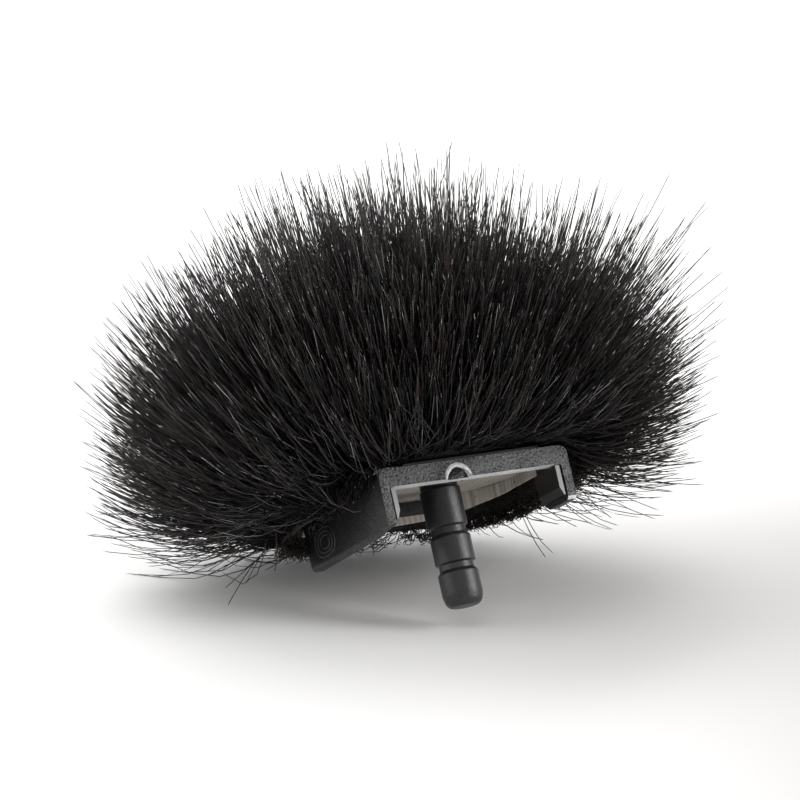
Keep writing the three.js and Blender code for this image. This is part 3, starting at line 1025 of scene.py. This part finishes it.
def fringe_depth(normals):
    """Share of the coat's length over which it thins out to single hairs: deep on top, slight
    at the sides, least at the right."""
    right = np.clip(normals @ np.array(view_right), 0, 1)
    rise = np.clip((normals[:, 2] - 0.3) / 0.36, 0, 1)
    return 0.15 + 0.24 * rise * rise * (3 - 2 * rise) - 0.05 * right


def pile_lines(rng):
    """Centre lines of the fur: hairs leave the cloth along its normal, rise and gather into tufts."""
    hem_count = int(STRANDS * HEM_SHARE)
    roots, normals, _, _ = scatter_dome(rng, STRANDS - hem_count)
    hem_roots, hem_normals = scatter_hem(rng, hem_count)
    roots = np.concatenate([roots, hem_roots])
    normals = np.concatenate([normals, hem_normals])
    count = len(roots)
    azimuth, lift, tilt = comb(roots, normals)

    guard = rng.random(count) < GUARD_SHARE
    depth = fringe_depth(normals)
    steep, layers = THINNING
    inward = np.log(1 + rng.random(count) * (math.exp(steep * layers) - 1)) / steep
    soft = rng.normal(*UNDERCOAT_REACH, count) + 0.5 * (0.33 - depth)
    reach = np.where(guard, 1 - depth * inward, soft)
    length = PILE_LENGTH * reach * reach_by_side(azimuth, normals, roots)

    def lines_for(points, way, lifted, tilted, long):
        return grow(points, unit(way + tilted[:, None] * UP), lifted, long)

    stray = np.where(rng.random(count) < 0.06, 2.2, 1)
    noise = np.where(guard, 0.28, 0.15) * stray
    ways = unit(normals + rng.normal(0, 1, (count, 3)) * noise[:, None])
    ways[:, 2] = np.where(roots[:, 2] < ROOT_LOW + 0.4, np.abs(ways[:, 2]) * 0.6, ways[:, 2])
    seeds = rng.choice(count, 150, replace=False)
    length *= rng.normal(1, 0.035, 150)[nearest(roots, roots[seeds])]
    lines = lines_for(roots, ways, lift * rng.normal(1, 0.18, count), tilt, length)
    for group_count, spread, pull, power in CLUMPS:
        seeds = rng.choice(count, group_count, replace=False)
        group = nearest(roots, roots[seeds])
        seed_way = unit(normals[seeds] + rng.normal(0, spread, (group_count, 3)))
        seed_lift = lift[seeds] * rng.normal(1, 0.14, group_count)
        lifted, tilted = seed_lift[group], tilt[seeds][group]
        goal = lines_for(roots[seeds][group], seed_way[group], lifted, tilted, length)
        strength = each(pull * rng.uniform(0.3, 1.3, count)) * ALONG[None, :, None] ** power
        lines = lines * (1 - strength) + goal * strength

    across = unit(np.cross(ways, rng.normal(0, 1, (count, 3))))
    swing = each(rng.normal(0, 0.55, count))
    waves = each(rng.uniform(0.6, 1.6, count))
    lines = lines + across[:, None] * swing * np.sin(ALONG[None, :, None] * math.pi * waves)
    return lines, guard


def keep_off_clip(lines):
    """Hairs bend round the clip: above the bar they lie on it, and beside the arm they stay outside."""
    x, y, z = lines[..., 0], lines[..., 1], lines[..., 2]
    clear = 0.25
    clear_arm = clear + 0.05 * np.clip(y, 0, 16)
    in_front = (y < BAR_BACK) & (y > BAR_FRONT - 8) & (np.abs(x) < hook_high.x + clear)
    low_front = in_front & (z < BAR_TOP + clear)
    kept = lines.copy()
    kept[..., 2] = np.where(low_front, BAR_TOP + clear, z)
    beside = (y > BAR_FRONT) & (y < arm_high.y + 0.5) & (kept[..., 2] < BAR_TOP + 0.4)
    left = beside & (x > arm_low.x - clear_arm) & (x < 0)
    kept[..., 0] = np.where(left, arm_low.x - clear_arm, x)
    return kept


def lie_on_table(lines):
    """Hairs that would reach through the table are turned along it."""
    up = np.array(table_up)
    below = TABLE_AT + 0.08 - lines @ up
    return lines + np.maximum(below, 0)[..., None] * up


def region_of(root):
    """The fur panel that a root grows from."""
    if root[2] > CROWN_FROM:
        return "crown"
    angle = math.degrees(math.atan2(root[1] - DOME.y, root[0] - DOME.x)) % 360
    return ("right", "rear", "left", "front")[int(((angle + 45) % 360) // 90)]


def strand_slots(rng, guard):
    """Material slots along each strand: dull fibres, with a glossy stretch on some guard hairs."""
    count, parts = len(guard), len(ALONG) - 1
    base = np.where(guard, rng.choice(2, count, p=[0.5, 0.5]), UNDERCOAT_SLOT)
    slots = np.repeat(base[:, None], parts, axis=1)
    for slot, share, longest in GLOSSY:
        chosen = guard & (rng.random(count) < share)
        start = rng.integers(2, parts, count)
        span = rng.integers(1, longest + 1, count)
        place = np.arange(parts)[None]
        here = chosen[:, None] & (place >= start[:, None]) & (place < (start + span)[:, None])
        slots = np.where(here, slot, slots)
    return slots


def make_pile():
    rng = np.random.default_rng(SEED + 1)
    free, guard = pile_lines(rng)
    lines = lie_on_table(keep_off_clip(free))
    natural = np.linalg.norm(lines - free, axis=2).max(axis=1) < MOST_MOVED
    lines, guard = lines[natural], guard[natural]
    count = len(lines)
    thick = STRAND_RADIUS * rng.uniform(0.8, 1.2, count) * np.where(guard, 0.96, 1)
    radii = thick[:, None] * (1 - 0.22 * ALONG[None] ** 3)
    slots = strand_slots(rng, guard)
    regions = np.array([region_of(r) for r in lines[:, 0]])
    for region in ("front", "right", "rear", "left", "crown"):
        members = np.flatnonzero(regions == region)
        parts = np.array_split(members, math.ceil(len(members) / PIECE_STRANDS))
        node = "fur_crown" if region == "crown" else f"fur_wall_{region}"
        for number, part in enumerate(parts, 1):
            name = f"pile_{region}_{number}"
            piece = fibre_mesh(name, lines[part], radii[part], slots[part], PILE_MATERIALS)
            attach(piece, "root")
            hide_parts(node)


def make_arm_skirt():
    """Short hairs of the left wall that fall over the arm's upper edge."""
    rng = np.random.default_rng(SEED + 3)
    count = 1500
    u = ALONG[None, :, None]
    y = rng.uniform(BAR_FRONT + 0.2, arm_high.y + 0.7, count)
    x = arm_low.x + rng.uniform(0.0, 0.7, count)
    start = np.stack([x, y, BAR_TOP + rng.uniform(0.15, 0.8, count)], axis=1)
    out_x, out_z = -rng.uniform(1.1, 2.6, count), rng.uniform(0.1, 0.6, count)
    out = np.stack([out_x, rng.normal(0.2, 0.9, count), out_z], axis=1)
    drop = rng.uniform(0.9, 2.6, count) * (1 + 0.35 * np.clip((y - 8) / 8, 0, 1))
    lines = start[:, None] + out[:, None] * u ** 0.9 - UP * each(drop) * u ** 2.2
    floor = arm_low.x - 0.1
    low = lines[..., 2] < BAR_TOP - 0.1
    lines[..., 0] = np.where(low, np.minimum(lines[..., 0], floor), lines[..., 0])
    radii = SKIRT_RADIUS * rng.uniform(0.8, 1.2, (count, 1)) * (1 - 0.3 * ALONG[None] ** 3)
    slots = strand_slots(rng, rng.random(count) < 0.4)
    skirt = fibre_mesh("arm_skirt_hairs", lines, radii, slots, PILE_MATERIALS)
    start = Vector((-SPLIT, -0.5, 0)) * MM
    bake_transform(skirt)


def make_hem_threads(name, seed, start_at, end_at, count, steps, size):
    """Short curly threads of the cut backing and the overlock, along part of the mouth's lower edge."""
    rng = np.random.default_rng(seed)
    t = np.radians(rng.uniform(start_at, end_at, count))
    low, high = thread_low.z + 0.2, hem_high.z - 0.6
    z = low + (high - low) * rng.random(count) ** 1.8
    inset = rng.uniform(0.1, 0.95, count)
    x, y = np.array([mouth_point(i, a) for i, a in zip(inset, t)]).T
    start = np.stack([x, y, z], axis=1)
    inward = unit(np.stack([-x, MOUTH_Y - y, np.zeros(count)], axis=1))
    lean = rng.uniform(-0.8, 0.9, count)[:, None]
    heading = unit(inward * lean + np.array([0, 0, -0.8]) + rng.normal(0, 0.5, (count, 3)))
    across = unit(np.cross(heading, rng.normal(0, 1, (count, 3))))
    third = np.cross(heading, across)
    u = np.linspace(0, 1, steps)[None, :, None]
    turns = each(rng.uniform(0.6, 1.7, count))
    wide = each(rng.uniform(0.12, 0.34, count)) * size
    length = each(rng.uniform(0.4, 1.5, count)) * size
    phase = each(rng.uniform(0, 6.28, count))
    angle = 2 * math.pi * turns * u + phase
    curl = across[:, None] * (np.cos(angle) - np.cos(phase))
    curl = curl + third[:, None] * (np.sin(angle) - np.sin(phase))
    lines = start[:, None] + heading[:, None] * length * u + curl * wide
    radii = THREAD_RADIUS * (1 - 0.4 * u[..., 0] ** 3) * rng.uniform(0.7, 1.2, (count, 1))
    slots = np.repeat(rng.choice(2, count, p=[0.8, 0.2])[:, None], steps - 1, axis=1)
    curls = fibre_mesh(name, lines, radii, slots, [THREAD, HAIR_BROWN])
    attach(curls, "root")
    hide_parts("hem_thread")


def make_loose_hairs():
    """Single long hairs that hang out of the coat at the mouth's lower edge."""
    rng = np.random.default_rng(SEED + 6)
    lines = []
    for around, out, drop, aside in LOOSE_HAIRS:
        angle = math.radians(around)
        x, y = mouth_point(0.1, angle)
        away = unit(np.array([x, y - MOUTH_Y, 0.0]))
        cross = np.array([-away[1], away[0], 0.0])
        start = np.array([x, y, hem_low.z + 0.6])
        u = ALONG[:, None]
        bow = cross * rng.normal(0, 0.35) * np.sin(u * math.pi)
        lines.append(start + away * out * u ** 0.9 - UP * drop * u ** 1.3 + cross * aside * u + bow)
    lines = np.array(lines)
    radii = np.full((len(lines), len(ALONG)), 0.9 * STRAND_RADIUS)
    slots = np.zeros((len(lines), len(ALONG) - 1), int)
    hairs = fibre_mesh("loose_hairs", lines, radii, slots, [HAIR_BLACK])
    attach(hairs, "root")


make_pile()
make_arm_skirt()
make_loose_hairs()
make_hem_threads("overlock_curls_left", SEED + 2, 75, 155, 900, 18, 1.0)
make_hem_threads("overlock_curls_arm", SEED + 4, 155, 210, 120, 14, 0.4)
make_hem_threads("overlock_curls_right", SEED + 5, -30, 80, 2600, 12, 0.5)


# ---------------- stage

def make_table():
    """A pale table under the lowest hairs; it is clear from below, so it hides nothing there. Its
    colour darkens towards the right, short of its far part: painted shade for the light falling off
    away from the key.
    """
    side = 1400 * MM
    origin = table_up * TABLE_AT * MM
    across = (view_right - table_up * view_right.dot(table_up)).normalized()
    away = table_up.cross(across)
    quarters = (-1, -1), (1, -1), (1, 1), (-1, 1)
    corners = [origin + across * side * i + away * side * j for i, j in quarters]
    mesh = bpy.data.meshes.new("table")
    mesh.from_pydata(corners, [], [(0, 1, 2, 3)])
    material, nodes, shader = new_material("table_white", 0.7)
    place = nodes.new("ShaderNodeNewGeometry").outputs["Position"]
    # Painted shade: the colour darkens towards the right, but not in the far part, standing in for the
    # light's falloff.
    falloff_shares = []
    for axis, start, end in ((across, -5, 45), (-away, -110, -10)):
        reach = nodes.new("ShaderNodeVectorMath")
        reach.operation = "DOT_PRODUCT"
        reach.inputs[1].default_value = axis
        join_up(place, reach.inputs[0])
        span = add_node(nodes, "ShaderNodeMapRange", **{"From Min": start * MM, "From Max": end * MM})
        span.interpolation_type = "SMOOTHSTEP"
        join_up(reach.outputs["Value"], span.inputs["Value"])
        falloff_shares.append(span.outputs["Result"])
    falloff_shade = nodes.new("ShaderNodeMath")
    falloff_shade.operation = "MULTIPLY"
    join_up(falloff_shares[0], falloff_shade.inputs[0])
    join_up(falloff_shares[1], falloff_shade.inputs[1])
    falloff_shade_tones = [(0.0, (0.695, 0.693, 0.691)), (1.0, (0.41, 0.405, 0.4))]
    ramp(falloff_shade.outputs["Value"], falloff_shade_tones, shader["Base Color"])
    shader["Specular IOR Level"].default_value = 0.2
    clear = nodes.new("ShaderNodeBsdfTransparent")
    mix = nodes.new("ShaderNodeMixShader")
    join_up(nodes.new("ShaderNodeNewGeometry").outputs["Backfacing"], mix.inputs["Fac"])
    join_up(nodes["Principled BSDF"].outputs["BSDF"], mix.inputs[1])
    join_up(clear.outputs["BSDF"], mix.inputs[2])
    join_up(mix.outputs["Shader"], nodes["Material Output"].inputs["Surface"])
    link_mesh("table", mesh, [material])


def area_light(name, place, size, energy, aim=(0, 0, 0)):
    """A soft box; place and aim are (right, up, near) of the object's middle, on the table's axes."""
    near = (back - table_up * back.dot(table_up)).normalized()
    axes = Matrix((view_right, table_up, near)).transposed()
    middle = Vector((DOME.x, DOME.y, 6))
    spot, target = middle + axes @ Vector(place), middle + axes @ Vector(aim)
    data = bpy.data.lights.new(name, "AREA")
    data.shape = "RECTANGLE"
    data.size, data.size_y = size[0] * MM, size[1] * MM
    data.energy = energy
    light = bpy.data.objects.new(name, data)
    light.location = spot * MM
    light.rotation_mode = "QUATERNION"
    light.rotation_quaternion = (spot - target).to_track_quat("Z", "Y")
    bpy.context.scene.collection.objects.link(light)


def make_lights():
    area_light("key", (-370, 220, 60), (340, 340), 1.08)
    area_light("front_top", (-60, 380, 200), (300, 300), 0.7)
    area_light("left_card", (-320, 60, 140), (160, 160), 0.04)
    area_light("right_soft", (320, 120, 80), (130, 200), 1.0)
    area_light("front_card", (200, 10, 260), (160, 80), 0.04)
    area_light("back_wash", (0, 300, -420), (900, 300), 3.6, aim=(0, -60, -330))
    world = bpy.data.worlds.new("studio")
    world.use_nodes = True
    background = world.node_tree.nodes["Background"]
    background.inputs["Color"].default_value = (1, 0.98, 0.96, 1)
    background.inputs["Strength"].default_value = 0.38
    bpy.context.scene.world = world
    bpy.context.scene.view_settings.view_transform = "Standard"


make_table()
make_lights()
